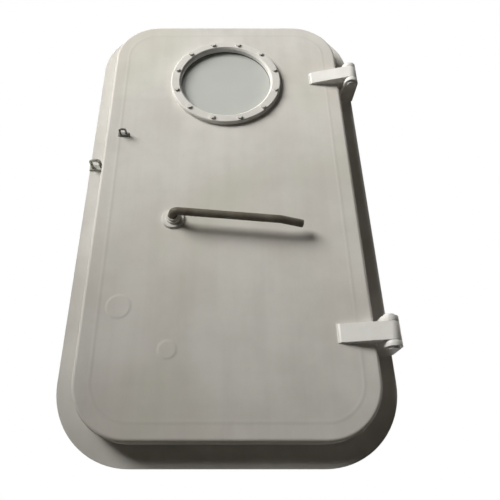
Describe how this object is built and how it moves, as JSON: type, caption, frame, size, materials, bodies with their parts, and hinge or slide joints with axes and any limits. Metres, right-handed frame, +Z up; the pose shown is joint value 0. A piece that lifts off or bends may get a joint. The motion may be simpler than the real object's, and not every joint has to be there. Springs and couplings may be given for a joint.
{
  "type": "marine watertight door",
  "caption": "Single-leaf marine watertight door with a round fixed light, two pin hinges and a single lever that turns all its dogs through link bars.",
  "frame": {"origin": "centre of the clear opening, on the back plane of the frame flange where it meets the bulkhead", "axes": "+X towards the hinge side, +Y from the weather side into the ship, +Z up"},
  "size_m": [0.817, 0.1863, 1.414],
  "materials": {
    "frame_paint": "off-white marine paint, semi-matt",
    "leaf_paint": "off-white marine paint, semi-matt",
    "hinge_paint": "white gloss-worn paint",
    "lever_paint": "grey paint, handled",
    "ring_paint": "off-white paint",
    "pin_steel": "turned stainless steel",
    "zinc_steel": "dull dark galvanising",
    "bolt_steel": "zinc-plated, painted over",
    "bronze": "machined bronze",
    "seal_rubber": "matt black neoprene",
    "window_glass": "clear toughened glass",
    "dog_steel": "grey primer"
  },
  "bodies": {
    "frame": {"frame_flange": "frame_paint", "frame_coaming": "frame_paint", "left_keepers": "pin_steel", "right_keepers": "pin_steel", "upper_hinge_lugs": "hinge_paint", "lower_hinge_lugs": "hinge_paint", "upper_hinge_pin": "pin_steel", "lower_hinge_pin": "pin_steel", "frame_staple": "zinc_steel", "frame_staple_plate": "zinc_steel"},
    "leaf": {"leaf_plate": "leaf_paint", "gasket_channel_inner": "leaf_paint", "gasket_channel_outer": "leaf_paint", "door_gasket": "seal_rubber", "upper_stiffener": "leaf_paint", "middle_stiffener": "leaf_paint", "lower_stiffener": "leaf_paint", "window_frame": "ring_paint", "window_clamp_ring": "ring_paint", "window_glass": "window_glass", "window_gasket_outer": "seal_rubber", "window_gasket_inner": "seal_rubber", "window_bolts": "bolt_steel", "upper_hinge_strap": "hinge_paint", "lower_hinge_strap": "hinge_paint", "upper_hinge_bush": "bronze", "lower_hinge_bush": "bronze", "spindle_gland": "ring_paint", "spindle_bushes": "bronze", "spindle_packing": "seal_rubber", "dog_bosses": "leaf_paint", "dog_pivot_pins": "pin_steel", "leaf_staple": "zinc_steel", "leaf_staple_plate": "zinc_steel"},
    "lever": {"lever_spindle": "pin_steel", "lever_collar": "ring_paint", "drive_crank": "lever_paint", "inner_lever_hub": "lever_paint", "inner_lever": "lever_paint", "outer_lever": "lever_paint"},
    "links": {"link_bar_left": "zinc_steel", "link_bar_right": "zinc_steel", "link_cross_bar": "zinc_steel", "link_pins": "pin_steel"},
    "left_upper_dog": {"dog_left_upper": "dog_steel", "dog_pad_left_upper": "bronze"},
    "left_middle_dog": {"dog_left_middle": "dog_steel", "dog_pad_left_middle": "bronze"},
    "left_lower_dog": {"dog_left_lower": "dog_steel", "dog_pad_left_lower": "bronze"},
    "right_upper_dog": {"dog_right_upper": "dog_steel", "dog_pad_right_upper": "bronze"},
    "right_middle_dog": {"dog_right_middle": "dog_steel", "dog_pad_right_middle": "bronze"},
    "right_lower_dog": {"dog_right_lower": "dog_steel", "dog_pad_right_lower": "bronze"}
  },
  "joints": [
    {"name": "leaf_swing", "type": "hinge", "parent": "frame", "child": "leaf", "pos_m": [0.389, -0.08, 0], "axis": [0, 0, 1], "range_deg": [0, 120]},
    {"name": "lever_turn", "type": "hinge", "parent": "leaf", "child": "lever", "pos_m": [-0.143, 0, -0.097], "axis": [0, 1, 0], "range_deg": [0, 90]},
    {"name": "link_travel", "type": "hinge", "parent": "lever", "child": "links", "pos_m": [-0.11754, 0, -0.07154], "axis": [0, 1, 0], "range_deg": [-90, 0]},
    {"name": "left_upper_dog_turn", "type": "hinge", "parent": "leaf", "child": "left_upper_dog", "pos_m": [-0.232, 0, 0.4], "axis": [0, 1, 0], "range_deg": [0, 90]},
    {"name": "left_middle_dog_turn", "type": "hinge", "parent": "leaf", "child": "left_middle_dog", "pos_m": [-0.232, 0, -0.097], "axis": [0, 1, 0], "range_deg": [0, 90]},
    {"name": "left_lower_dog_turn", "type": "hinge", "parent": "leaf", "child": "left_lower_dog", "pos_m": [-0.232, 0, -0.48], "axis": [0, 1, 0], "range_deg": [0, 90]},
    {"name": "right_upper_dog_turn", "type": "hinge", "parent": "leaf", "child": "right_upper_dog", "pos_m": [0.232, 0, 0.4], "axis": [0, 1, 0], "range_deg": [0, 90]},
    {"name": "right_middle_dog_turn", "type": "hinge", "parent": "leaf", "child": "right_middle_dog", "pos_m": [0.232, 0, -0.097], "axis": [0, 1, 0], "range_deg": [0, 90]},
    {"name": "right_lower_dog_turn", "type": "hinge", "parent": "leaf", "child": "right_lower_dog", "pos_m": [0.232, 0, -0.48], "axis": [0, 1, 0], "range_deg": [0, 90]}
  ],
  "couplings": [
    {"joint": "link_travel", "follows": "lever_turn", "ratio": -1},
    {"joint": "left_upper_dog_turn", "follows": "lever_turn", "ratio": 1},
    {"joint": "left_middle_dog_turn", "follows": "lever_turn", "ratio": 1},
    {"joint": "left_lower_dog_turn", "follows": "lever_turn", "ratio": 1},
    {"joint": "right_upper_dog_turn", "follows": "lever_turn", "ratio": 1},
    {"joint": "right_middle_dog_turn", "follows": "lever_turn", "ratio": 1},
    {"joint": "right_lower_dog_turn", "follows": "lever_turn", "ratio": 1}
  ]
}
